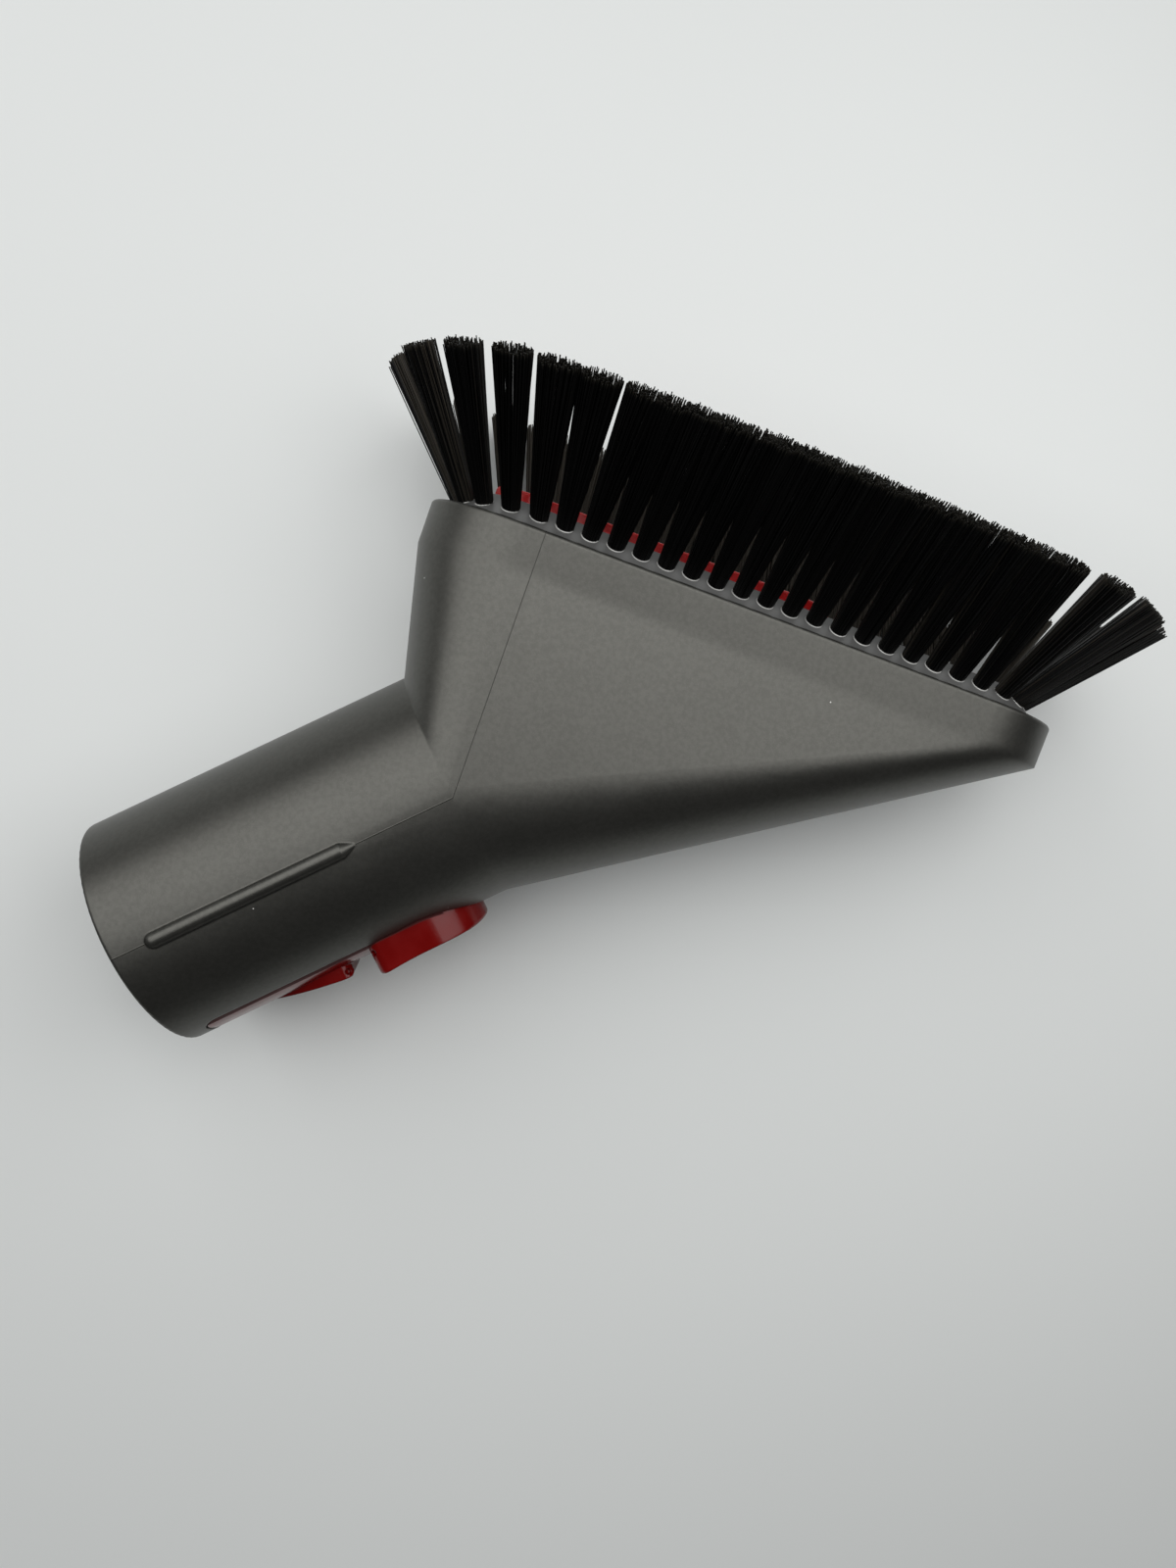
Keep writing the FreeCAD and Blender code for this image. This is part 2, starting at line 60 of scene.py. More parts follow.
bl_info = {
    "name": "Vacuum dusting brush",
    "version": (1, 0, 0),
    "blender": (4, 5, 0),
    "location": "View3D > Sidebar > Dusting brush",
    "description": "Dresses the solids of a vacuum dusting brush and sets its stage",
    "category": "Object",
}

MM = 0.001
HOLE_RADIUS = 1.5 * MM
TUFTS = sorted(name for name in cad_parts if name.startswith("tuft_") and name[5:].isdigit())
STEEL_PARTS = ("latch_pivot_pin", "latch_spring", "tuft_anchors")


# Sizes and colours that a user may change

class HousingFinish(bpy.types.PropertyGroup):
    """Finish of the moulded neck and head."""

    colour: bpy.props.FloatVectorProperty(
        name="Colour", description="Colour of the moulded housing",
        subtype="COLOR", size=3, min=0.0, max=1.0, default=(0.088, 0.087, 0.079),
    )
    grain_size: bpy.props.FloatProperty(
        name="Grain size", description="Width of one grain of the spark texture",
        subtype="DISTANCE", unit="LENGTH", default=0.32 * MM, min=0.05 * MM,
    )
    grain_depth: bpy.props.FloatProperty(
        name="Grain depth", description="Depth of the spark texture",
        subtype="DISTANCE", unit="LENGTH", default=0.02 * MM, min=0.0,
    )
    line_width: bpy.props.FloatProperty(
        name="Parting line width", description="Width of the line where the mould halves met",
        subtype="DISTANCE", unit="LENGTH", default=0.13 * MM, min=0.0,
    )
    edge_round: bpy.props.FloatProperty(
        name="Edge softness", description="Radius at which sharp edges look rounded",
        subtype="DISTANCE", unit="LENGTH", default=0.5 * MM, min=0.0,
    )


class CarrierFinish(bpy.types.PropertyGroup):
    """Finish of the crowned ring that holds the tufts."""

    colour: bpy.props.FloatVectorProperty(
        name="Colour", description="Colour of the bristle carrier",
        subtype="COLOR", size=3, min=0.0, max=1.0, default=(0.095, 0.095, 0.093),
    )
    # The rim colour is a painted highlight: pale where light catches the rims of the tuft holes
    rim_highlight_colour: bpy.props.FloatVectorProperty(
        name="Rim colour", description="Colour of the raised rims round the tuft holes",
        subtype="COLOR", size=3, min=0.0, max=1.0, default=(0.5, 0.5, 0.48),
    )
    rim_radius: bpy.props.FloatProperty(
        name="Rim radius", description="Radius of the round rim bead",
        subtype="DISTANCE", unit="LENGTH", default=0.13 * MM, min=0.0,
    )


class TrimFinish(bpy.types.PropertyGroup):
    """Finish of the red pieces."""

    latch_colour: bpy.props.FloatVectorProperty(
        name="Latch colour", description="Colour of the latch",
        subtype="COLOR", size=3, min=0.0, max=1.0, default=(0.145, 0.0016, 0.0012),
    )
    liner_colour: bpy.props.FloatVectorProperty(
        name="Liner colour", description="Colour of the slot liner",
        subtype="COLOR", size=3, min=0.0, max=1.0, default=(0.78, 0.008, 0.009),
    )


class BristleSizes(bpy.types.PropertyGroup):
    """Sizes of the bristles in each tuft."""

    count: bpy.props.IntProperty(
        name="Bristles in a tuft", description="Number of bristles in each tuft",
        default=184, min=8, max=190,
    )
    radius: bpy.props.FloatProperty(
        name="Bristle radius", description="Radius of one bristle",
        subtype="DISTANCE", unit="LENGTH", default=0.13 * MM, min=0.02 * MM,
    )
    widening: bpy.props.FloatProperty(
        name="Widening", description="How far a tuft's tip spreads past its solid on each side",
        subtype="DISTANCE", unit="LENGTH", default=0.78 * MM, min=0.0,
    )
    unevenness: bpy.props.FloatProperty(
        name="Unevenness", description="How much shorter the shortest bristles are than their tuft",
        subtype="DISTANCE", unit="LENGTH", default=0.5 * MM, min=0.0,
    )
    stray: bpy.props.FloatProperty(
        name="Stray", description="How far a bristle's tip strays from its place in the tuft",
        subtype="DISTANCE", unit="LENGTH", default=0.16 * MM, min=0.0,
    )
    colour: bpy.props.FloatVectorProperty(
        name="Colour", description="Colour of the bristles",
        subtype="COLOR", size=3, min=0.0, max=1.0, default=(0.0008, 0.0008, 0.0008),
    )
    # Painted light: this pale colour stands for light shining through or glinting on bristles
    painted_light_colour: bpy.props.FloatVectorProperty(
        name="Pale colour", description="Colour of the palest bristles",
        subtype="COLOR", size=3, min=0.0, max=1.0, default=(0.052, 0.044, 0.033),
    )


class StageLook(bpy.types.PropertyGroup):
    """Table, lamps and camera."""

    table_colour: bpy.props.FloatVectorProperty(
        name="Table colour", description="Colour of the table",
        subtype="COLOR", size=3, min=0.0, max=1.0, default=(0.73, 0.75, 0.74),
    )
    key_power: bpy.props.FloatProperty(
        name="Key power", description="Power of the large lamp", unit="POWER", default=4.9, min=0.0,
    )
    top_power: bpy.props.FloatProperty(
        name="Top power", description="Power of the lamp beyond the bristles",
        unit="POWER", default=0.68, min=0.0,
    )
    room_light: bpy.props.FloatProperty(
        name="Room light", description="Strength of the light from the room", default=0.05, min=0.0,
    )


class BrushSettings(bpy.types.PropertyGroup):
    """All settings of the dusting brush."""

    housing: bpy.props.PointerProperty(type=HousingFinish)
    carrier: bpy.props.PointerProperty(type=CarrierFinish)
    trim: bpy.props.PointerProperty(type=TrimFinish)
    bristles: bpy.props.PointerProperty(type=BristleSizes)
    stage: bpy.props.PointerProperty(type=StageLook)


# Node trees

VECTOR = "FLOAT_VECTOR"


class Wiring:
    """Adds nodes to one tree and joins them."""

    def __init__(self, tree):
        self.tree = tree

    def add(self, kind, settings=None, **inputs):
        """A node of one kind, with its settings and its inputs, each a value or another node's socket."""
        node = self.tree.nodes.new(kind)
        for name, value in (settings or {}).items():
            setattr(node, name, value)
        for name, value in inputs.items():
            key = int(name[1:]) if name[0] == "i" and name[1:].isdigit() else name.replace("_", " ")
            self.join(value, node.inputs[key])
        return node

    def join(self, value, socket):
        """Feeds a socket from another socket, or sets its value."""
        if isinstance(value, bpy.types.NodeSocket):
            self.tree.links.new(value, socket)
        else:
            socket.default_value = value

    def math(self, operation, first, second=0.0, third=0.0):
        """One step of arithmetic on numbers."""
        return self.add("ShaderNodeMath", {"operation": operation}, i0=first, i1=second, i2=third).outputs[0]

    def vector(self, operation, first, second=(0.0, 0.0, 0.0)):
        """One step of arithmetic on vectors."""
        node = self.add("ShaderNodeVectorMath", {"operation": operation}, i0=first)
        self.join(second, node.inputs["Scale" if operation == "SCALE" else 1])
        return node.outputs["Value" if operation == "DOT_PRODUCT" else 0]

    def blend(self, share, first, second):
        """A mix of two colours."""
        return self.add("ShaderNodeMix", {"data_type": "RGBA"}, Factor=share, i6=first, i7=second).outputs[2]

    def ramp(self, value, low, high, first=0.0, second=1.0):
        """Turns a value from one range into another, smoothly and held at both ends."""
        node = self.add("ShaderNodeMapRange", {"interpolation_type": "SMOOTHSTEP"}, Value=value)
        for name, number in (("From Min", low), ("From Max", high), ("To Min", first), ("To Max", second)):
            self.join(number, node.inputs[name])
        return node.outputs[0]

    def place(self):
        """A point's place in the brush's own frame, for materials."""
        return self.add("ShaderNodeTexCoord").outputs["Object"]

    def axes(self):
        """The same place as three numbers."""
        parts = self.add("ShaderNodeSeparateXYZ", Vector=self.place())
        return parts.outputs[0], parts.outputs[1], parts.outputs[2]

    def noise(self, place, scale, detail, roughness=0.5):
        """A soft random value over the surface."""
        inputs = {"Vector": place, "Scale": scale, "Detail": detail, "Roughness": roughness}
        return self.add("ShaderNodeTexNoise", **inputs).outputs["Fac"]

    def softened(self, radius, samples):
        """Normals that look rounded at sharp edges."""
        return self.add("ShaderNodeBevel", {"samples": samples}, Radius=radius).outputs[0]

    def bump(self, height, depth, strength, normal=None):
        """Normals raised by a height."""
        node = self.add("ShaderNodeBump", Strength=strength, Distance=depth, Height=height)
        if normal is not None:
            self.join(normal, node.inputs["Normal"])
        return node.outputs[0]

    def attribute(self, label, kind="FLOAT"):
        """A value that the points carry, for geometry trees."""
        node = self.add("GeometryNodeInputNamedAttribute", {"data_type": kind}, Name=label)
        return node.outputs["Attribute"]

    def keep(self, geometry, label, value, kind="FLOAT"):
        """A geometry whose points carry one more value."""
        settings = {"data_type": kind, "domain": "POINT"}
        inputs = {"Geometry": geometry, "Name": label, "Value": value}
        return self.add("GeometryNodeStoreNamedAttribute", settings, **inputs).outputs["Geometry"]

    def chance(self, seed, step, low, high, kind="FLOAT"):
        """A random value for each point, from the tree's seed and a step of its own."""
        own_seed = self.math("ADD", seed, float(step))
        node = self.add("FunctionNodeRandomValue", {"data_type": kind}, Seed=own_seed)
        lowest, highest, drawn = (0, 1, 0) if kind == VECTOR else (2, 3, 1)
        node.inputs[lowest].default_value = low
        node.inputs[highest].default_value = high
        return node.outputs[drawn]


def start_group(name, kind, inputs, outputs):
    """A node group with named inputs (name, socket kind, default) and outputs (name, socket kind)."""
    group = bpy.data.node_groups.new(name, kind)
    for label, socket_kind, default in inputs:
        socket = group.interface.new_socket(label, in_out="INPUT", socket_type=socket_kind)
        if default is not None:
            socket.default_value = default
    for label, socket_kind in outputs:
        group.interface.new_socket(label, in_out="OUTPUT", socket_type=socket_kind)
    wiring = Wiring(group)
    return group, wiring, wiring.add("NodeGroupInput").outputs, wiring.add("NodeGroupOutput").inputs


def moulded_grain_group():
    """Fine moulded grain: a height for bump, and soft clouds, mottle and flecks for colour and gloss."""
    group, w, given, result = start_group(
        "moulded_grain", "ShaderNodeTree",
        [("Grain size", "NodeSocketFloat", 0.3 * MM), ("Cloud size", "NodeSocketFloat", 12.0 * MM)],
        [
            ("Height", "NodeSocketFloat"), ("Cloud", "NodeSocketFloat"),
            ("Mottle", "NodeSocketFloat"), ("Flecks", "NodeSocketFloat"),
        ],
    )
    place = w.place()
    per_grain = w.math("DIVIDE", 1.0, given["Grain size"])
    per_cloud = w.math("DIVIDE", 1.0, given["Cloud size"])
    broad_scale = w.math("MULTIPLY", per_grain, 0.37)
    fleck_scale = w.math("MULTIPLY", per_grain, 1.3)
    fine = w.noise(place, per_grain, detail=2.0, roughness=0.6)
    broad = w.noise(place, broad_scale, detail=1.0)
    cloud = w.noise(place, per_cloud, detail=4.0, roughness=0.55)
    flecks = w.add("ShaderNodeTexVoronoi", Vector=place, Scale=fleck_scale).outputs["Distance"]
    height = w.math("ADD", w.math("MULTIPLY", fine, 0.65), w.math("MULTIPLY", broad, 0.35))
    w.join(height, result["Height"])
    w.join(w.ramp(cloud, 0.3, 0.7), result["Cloud"])
    w.join(w.ramp(broad, 0.3, 0.7), result["Mottle"])
    w.join(w.ramp(flecks, 0.0, 0.45, 1.0, 0.0), result["Flecks"])
    return group


def dust_group():
    """Sparse pale specks of dust."""
    group, w, given, result = start_group(
        "settled_dust", "ShaderNodeTree",
        [
            ("Spacing", "NodeSocketFloat", 4.0 * MM),
            ("Speck size", "NodeSocketFloat", 0.13 * MM),
            ("Share", "NodeSocketFloat", 0.07),
        ],
        [("Mask", "NodeSocketFloat")],
    )
    scale = w.math("DIVIDE", 1.0, given["Spacing"])
    cells = w.add("ShaderNodeTexVoronoi", Vector=w.place(), Scale=scale)
    speck_reach = w.math("MULTIPLY", given["Speck size"], scale)
    near = w.math("LESS_THAN", cells.outputs["Distance"], speck_reach)
    pick = w.add("ShaderNodeSeparateColor", Color=cells.outputs["Color"]).outputs[0]
    chosen = w.math("LESS_THAN", pick, given["Share"])
    w.join(w.math("MULTIPLY", near, chosen), result["Mask"])
    return group


def start_material(name):
    """An empty material: its wiring and the inputs of its main shader."""
    material = bpy.data.materials.new(name)
    material.use_nodes = True
    material.node_tree.nodes.clear()
    w = Wiring(material.node_tree)
    shader = w.add("ShaderNodeBsdfPrincipled")
    w.add("ShaderNodeOutputMaterial", Surface=shader.outputs[0])
    return material, w, shader.inputs


def place_group(w, group, **inputs):
    """The outputs of a shared effect inside a material, with its own values."""
    return w.add("ShaderNodeGroup", {"node_tree": group}, **inputs).outputs


def shared_group(name, maker):
    """The shared effect of that name, made the first time it is needed."""
    return bpy.data.node_groups.get(name) or maker()


def moulded_grain(w, grain_size, cloud_size):
    """The outputs of the moulded grain in one material, with its own sizes."""
    group = shared_group("moulded_grain", moulded_grain_group)
    return place_group(w, group, Grain_size=grain_size, Cloud_size=cloud_size)


def tinted(colour, share):
    """A colour made darker or lighter, with the alpha that sockets want."""
    return (*[min(1.0, share * value) for value in colour], 1.0)


def paint(node_names, material):
    """Puts one material on the named solids."""
    for name in node_names:
        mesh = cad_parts[name].data
        mesh.materials.clear()
        mesh.materials.append(material)


# Materials

# Where the parting line turns from the neck to the head, and the foot of the neck's rib
NECK_LINE_BEND = 45.96 * MM
RIB_LEVEL = 22.53 * MM
# The fold below the mouth, where the head's flat side meets the mouth's band
BAND_FOLD = 86.7 * MM
FOLD_ROUND = 3.0 * MM
# The neck's outside, and the inner edge of the border of the latch's plate
NECK_SKIN = 22.5 * MM
PLATE_BORDER = 10.6 * MM
BORDER_BLUR = 0.15 * MM
# How far the streaks on the latch are drawn out, where 1 would be without end
STREAK_STRETCH = 0.94
DUST_COLOUR = (0.7, 0.7, 0.68, 1.0)
TIP_COLOUR = (0.1, 0.09, 0.065, 1.0)
# The way out of the neck's side, square to its line
SIDEWAYS = (math.sqrt(0.5), -math.sqrt(0.5), 0.0)


def parting_line(w, half_width):
    """1 on the line where the two halves of the mould met: along the neck, then straight up the head."""
    x, y, z = w.axes()
    off_neck_line = w.math("ABSOLUTE", w.math("MULTIPLY", w.math("SUBTRACT", x, y), SIDEWAYS[0]))
    off_head_line = w.math("ABSOLUTE", w.math("SUBTRACT", x, NECK_LINE_BEND))
    on_head = w.math("GREATER_THAN", y, NECK_LINE_BEND)
    off_line = w.math(
        "ADD",
        w.math("MULTIPLY", off_head_line, on_head),
        w.math("MULTIPLY", off_neck_line, w.math("SUBTRACT", 1.0, on_head)),
    )
    below_rib = w.math("LESS_THAN", w.math("ABSOLUTE", z), RIB_LEVEL)
    return w.math("MULTIPLY", w.ramp(off_line, 0.0, half_width, 1.0, 0.0), below_rib)


def housing_material(look):
    """Dark nickel-grey plastic with a fine spark texture, a parting line and a few specks of dust."""
    material, w, shader = start_material("nickel_grey_moulding")
    grain = moulded_grain(w, grain_size=look.grain_size, cloud_size=14.0 * MM)
    dust = place_group(w, shared_group("settled_dust", dust_group))["Mask"]
    line = parting_line(w, look.line_width)
    speckled = w.math(
        "ADD", w.math("MULTIPLY", grain["Cloud"], 0.4), w.math("MULTIPLY", grain["Mottle"], 0.6),
    )
    clouded = w.blend(speckled, tinted(look.colour, 0.91), tinted(look.colour, 1.09))
    flecked = w.blend(w.math("MULTIPLY", grain["Flecks"], 0.3), clouded, tinted(look.colour, 1.6))
    lined = w.blend(w.math("MULTIPLY", line, 0.7), flecked, tinted(look.colour, 0.3))
    w.join(w.blend(dust, lined, DUST_COLOUR), shader["Base Color"])
    w.join(w.ramp(grain["Cloud"], 0.0, 1.0, 0.41, 0.43), shader["Roughness"])
    w.join(w.ramp(dust, 0.0, 1.0, 0.9, 0.0), shader["Metallic"])
    off_fold = w.math("ABSOLUTE", w.math("SUBTRACT", w.axes()[1], BAND_FOLD))
    edge_round = w.ramp(off_fold, FOLD_ROUND, 1.5 * FOLD_ROUND, FOLD_ROUND, look.edge_round)
    soft = w.softened(edge_round, samples=8)
    grained = w.bump(grain["Height"], depth=look.grain_depth, strength=0.5, normal=soft)
    w.join(w.bump(line, depth=0.06 * MM, strength=0.8, normal=grained), shader["Normal"])
    return material


def carrier_material(look):
    """Mid grey plastic, smoother than the housing."""
    material, w, shader = start_material("carrier_grey")
    grain = moulded_grain(w, grain_size=0.2 * MM, cloud_size=9.0 * MM)
    clouded = w.blend(grain["Cloud"], tinted(look.colour, 0.88), tinted(look.colour, 1.12))
    w.join(clouded, shader["Base Color"])
    w.join(w.ramp(grain["Cloud"], 0.0, 1.0, 0.38, 0.5), shader["Roughness"])
    soft = w.softened(0.15 * MM, samples=4)
    w.join(w.bump(grain["Height"], depth=0.01 * MM, strength=0.25, normal=soft), shader["Normal"])
    return material


def rim_highlight_material(look):
    """Smooth rims of the tuft holes, coloured pale as a painted highlight where the light catches them."""
    material, w, shader = start_material("rim_painted_highlight")
    grain = moulded_grain(w, grain_size=0.2 * MM, cloud_size=3.0 * MM)
    # Painted highlight: the rims take a pale colour for the light they catch
    tone = w.blend(grain["Cloud"], tinted(look.rim_highlight_colour, 0.7), tinted(look.rim_highlight_colour, 1.1))
    w.join(tone, shader["Base Color"])
    w.join(w.ramp(grain["Mottle"], 0.0, 1.0, 0.3, 0.45), shader["Roughness"])
    return material


def streaks_group():
    """Height of fine drawn streaks that run straight out of the neck's side."""
    group, w, given, result = start_group(
        "drawn_streaks", "ShaderNodeTree",
        [("Spacing", "NodeSocketFloat", 1.3 * MM)],
        [("Height", "NodeSocketFloat")],
    )
    place = w.place()
    out_share = w.math("MULTIPLY", w.vector("DOT_PRODUCT", place, SIDEWAYS), STREAK_STRETCH)
    squeezed = w.vector("SUBTRACT", place, w.vector("SCALE", SIDEWAYS, out_share))
    scale = w.math("DIVIDE", 1.0, given["Spacing"])
    w.join(w.noise(squeezed, scale, detail=2.0), result["Height"])
    return group


def plate_border_group():
    """1 on the outer border of the latch's plate: painted shade, a darker colour where the shade of its
    clearance line falls.
    """
    group, w, given, result = start_group(
        "painted_border_shade", "ShaderNodeTree",
        [("Border", "NodeSocketFloat", PLATE_BORDER)],
        [("Mask", "NodeSocketFloat")],
    )
    x, y, z = w.axes()
    sideways = w.math("MULTIPLY", w.math("SUBTRACT", x, y), SIDEWAYS[0])
    squares = w.math("ADD", w.math("MULTIPLY", sideways, sideways), w.math("MULTIPLY", z, z))
    off_middle = w.math("SUBTRACT", w.math("ABSOLUTE", z), given["Border"])
    outside = w.ramp(off_middle, -0.1 * MM, BORDER_BLUR)
    on_plate = w.ramp(w.math("SQRT", squares), NECK_SKIN, NECK_SKIN + BORDER_BLUR, 1.0, 0.0)
    w.join(w.math("MULTIPLY", outside, on_plate), result["Mask"])
    return group


def trim_material(name, colour, roughness, waviness, shine, shade_depth):
    """Red plastic with painted shade: darker in colour at its edges and on the border of the latch's plate.
    """
    material, w, shader = start_material(name)
    grain = moulded_grain(w, grain_size=1.6 * MM, cloud_size=7.0 * MM)
    clouded = w.blend(grain["Cloud"], tinted(colour, 0.9), tinted(colour, 1.08))
    soft = w.softened(0.35 * MM, samples=6)
    # Painted shade: edges, where the rounded normals turn off the true ones, are darkened in the colour
    facing = w.vector("DOT_PRODUCT", soft, w.add("ShaderNodeNewGeometry").outputs["Normal"])
    edge = w.ramp(facing, 0.75, 0.97, 1.0, 0.0)
    border = place_group(w, shared_group("painted_border_shade", plate_border_group))["Mask"]
    # The painted shade of the edges and the plate's border darkens the base colour; the border is also made
    # rougher
    painted_shade = w.math("MULTIPLY", w.math("MAXIMUM", edge, border), shade_depth)
    w.join(w.blend(painted_shade, clouded, tinted(colour, 0.25)), shader["Base Color"])
    gloss = w.ramp(grain["Cloud"], 0.0, 1.0, roughness, roughness * 1.5)
    w.join(w.math("MULTIPLY_ADD", border, 0.5, gloss), shader["Roughness"])
    shader["Specular IOR Level"].default_value = shine
    waved = w.bump(grain["Height"], depth=0.01 * MM, strength=waviness, normal=soft)
    streaks = place_group(w, shared_group("drawn_streaks", streaks_group))["Height"]
    w.join(w.bump(streaks, depth=0.05 * MM, strength=0.6, normal=waved), shader["Normal"])
    return material


def steel_material():
    """Drawn spring steel."""
    material, w, shader = start_material("drawn_steel")
    grain = moulded_grain(w, grain_size=0.15 * MM, cloud_size=2.0 * MM)
    w.join(w.blend(grain["Cloud"], (0.42, 0.42, 0.43, 1.0), (0.6, 0.6, 0.6, 1.0)), shader["Base Color"])
    w.join(w.ramp(grain["Height"], 0.2, 0.8, 0.25, 0.42), shader["Roughness"])
    shader["Metallic"].default_value = 1.0
    return material


def bristle_material(look):
    """Black nylon with painted light: bristles are painted paler and browner where light shines through or
    glints on them, more in some at random; the cut tips are paler.
    """
    material, w, shader = start_material("black_nylon")
    shade = w.add("ShaderNodeAttribute", {"attribute_name": "shade"}).outputs["Fac"]
    along = w.add("ShaderNodeAttribute", {"attribute_name": "along"}).outputs["Fac"]
    # Painted light: a share of the paler colour where light shines through or glints on a bristle
    painted_light_share = w.math("MULTIPLY", w.ramp(shade, 0.25, 0.85), 0.8)
    tip_share = w.math("MULTIPLY", w.ramp(along, 0.97, 1.0), 0.1)
    tone = w.blend(painted_light_share, tinted(look.colour, 1.0), tinted(look.painted_light_colour, 1.0))
    w.join(w.blend(tip_share, tone, TIP_COLOUR), shader["Base Color"])
    w.join(w.ramp(shade, 0.0, 1.0, 0.45, 0.55), shader["Roughness"])
    shader["Specular IOR Level"].default_value = 0.24
    return material


# Bristles and rims

# How near a point of a tuft's solid lies to its end to count as that end's edge
END_ROOM = 0.05 * MM
# Tufts that start below this height belong to the lower row
LOWER_ROW_TOP = -5.0 * MM
# Light comes in between the tufts from here on, and fully after this way along the mouth
LIGHT_START = 60 * MM
LIGHT_REACH = 90 * MM
# How much painted light, for the light between the tufts, pales a leaning tuft, and one at the mouth's far
# end
LEAN_OPENING = 10.0
FAR_OPENING = 0.7
# A tuft that leans sideways by more than this has room to itself
FREE_LEAN = 0.3
FREE_LEAN_BLUR = 0.15
# Across a tuft, u runs evenly from side to side and v steps by the golden share, so they fill the hole
EDGE_TURN = 0.8 * math.pi
GOLDEN_SHARE = (math.sqrt(5.0) - 1.0) / 2.0
BRISTLE_SIDES = 3
BRISTLE_POINTS = 4
RIM_SIDES = 6
RIM_POINTS = 20


def held(value):
    """A number held between 0 and 1."""
    return min(1.0, max(0.0, value))


def mesh_points(mesh):
    """The places of a mesh's corners, one in each row."""
    points = np.zeros(len(mesh.vertices) * 3, np.float32)
    mesh.vertices.foreach_get("co", points)
    return points.reshape(-1, 3)


def tuft_lines():
    """Where each tuft starts, points and spreads, read from its own solid."""
    rows = []
    for name in TUFTS:
        points = mesh_points(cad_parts[name].data).astype(float)
        spread = np.linalg.eigh(np.cov((points - points.mean(0)).T))[1]
        aim = spread[:, 2] if spread[1, 2] > 0 else -spread[:, 2]
        travel = points @ aim
        root_ring = points[travel < travel.min() + END_ROOM]
        tip_ring = points[travel > travel.max() - END_ROOM]
        root = (root_ring.min(0) + root_ring.max(0)) / 2
        tip = (tip_ring.min(0) + tip_ring.max(0)) / 2
        aim = (tip - root) / np.linalg.norm(tip - root)
        side = np.cross((0.0, 1.0, 0.0), aim)
        side /= np.linalg.norm(side)
        deep = np.cross(side, aim)
        lean = abs(float(aim[0]))
        along_mouth = held((float(root[0]) - LIGHT_START) / LIGHT_REACH)
        rows.append({
            "root": root, "aim": aim, "side": side, "deep": deep,
            "reach": float(np.linalg.norm(tip - root)),
            "root_room": float(np.abs((root_ring - root) @ side).max()),
            "tip_side": float(np.abs((tip_ring - tip) @ side).max()),
            "tip_deep": float(np.abs((tip_ring - tip) @ deep).max()),
            # Openness and the lower row set how much painted light, as paler colour, the tuft's bristles get
            "openness": held(LEAN_OPENING * lean ** 4 + FAR_OPENING * along_mouth),
            "lower_row": 1.0 if root[2] < LOWER_ROW_TOP else 0.0,
            "crowding": held((FREE_LEAN - lean) / FREE_LEAN_BLUR),
        })
    return rows


def tuft_points():
    """A mesh of one point for each tuft, which carries the tuft's directions and sizes."""
    rows = tuft_lines()
    mesh = bpy.data.meshes.new("tuft_points")
    mesh.from_pydata([tuple(row["root"]) for row in rows], [], [])
    for label in ("aim", "side", "deep"):
        layer = mesh.attributes.new(label, VECTOR, "POINT")
        for item, row in zip(layer.data, rows):
            item.vector = row[label]
    for label in ("reach", "root_room", "tip_side", "tip_deep", "openness", "lower_row", "crowding"):
        layer = mesh.attributes.new(label, "FLOAT", "POINT")
        for item, row in zip(layer.data, rows):
            item.value = row[label]
    return mesh


def across_tuft(w, side_share, deep_share):
    """A step across a tuft, along its side and its depth."""
    return w.vector(
        "ADD",
        w.vector("SCALE", w.attribute("side", VECTOR), side_share),
        w.vector("SCALE", w.attribute("deep", VECTOR), deep_share),
    )


def spread_roots(w, given):
    """Many points spread evenly over each tuft's hole, which carry their places across it."""
    points = w.add("GeometryNodeMeshToPoints", i0=given["Tufts"])
    many = w.add(
        "GeometryNodeDuplicateElements", {"domain": "POINT"},
        Geometry=points.outputs[0], Amount=given["Count"],
    )
    order = w.math("ADD", many.outputs["Duplicate Index"], w.chance(given["Seed"], 1, 0.4, 0.6))
    turn = w.math("MULTIPLY", w.math("SUBTRACT", w.math("DIVIDE", order, given["Count"]), 0.5), EDGE_TURN)
    u = w.math("DIVIDE", w.math("SINE", turn), math.sin(EDGE_TURN / 2))
    half_chord = w.math("SQRT", w.math("SUBTRACT", 1.0, w.math("MULTIPLY", u, u)))
    stagger = w.chance(given["Seed"], 2, -0.02, 0.02)
    deep_share = w.math("FRACT", w.math("MULTIPLY_ADD", order, GOLDEN_SHARE, stagger))
    v = w.math("MULTIPLY", half_chord, w.math("MULTIPLY_ADD", deep_share, 2.0, -1.0))
    room = w.attribute("root_room")
    off_middle = across_tuft(w, w.math("MULTIPLY", u, room), w.math("MULTIPLY", v, room))
    root = w.vector("ADD", w.add("GeometryNodeInputPosition").outputs[0], off_middle)
    geometry = w.keep(many.outputs["Geometry"], "u", u)
    geometry = w.keep(geometry, "v", v)
    geometry = w.keep(geometry, "off_middle", off_middle, VECTOR)
    return w.keep(geometry, "root", root, VECTOR)


